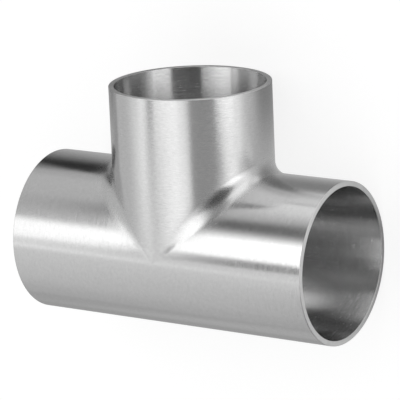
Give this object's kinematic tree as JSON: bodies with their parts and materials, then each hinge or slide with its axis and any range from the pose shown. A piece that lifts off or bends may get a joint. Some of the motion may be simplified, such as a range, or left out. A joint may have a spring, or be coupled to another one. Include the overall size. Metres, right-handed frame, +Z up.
{
  "type": "short weld tee",
  "caption": "Equal tee of polished stainless tube with plain square-cut ends for butt welding, taking a branch line at right angles off a straight run.",
  "frame": {"origin": "where the axes of the run and the branch cross", "axes": "+X along the run, +Y along the branch out of its end, +Z up as the loose fitting lies on its side"},
  "size_m": [0.106, 0.0776, 0.0508],
  "materials": {
    "stainless": "satin, finely brushed round the tube"
  },
  "bodies": {
    "root": {"weld_tee": "stainless"}
  },
  "joints": []
}
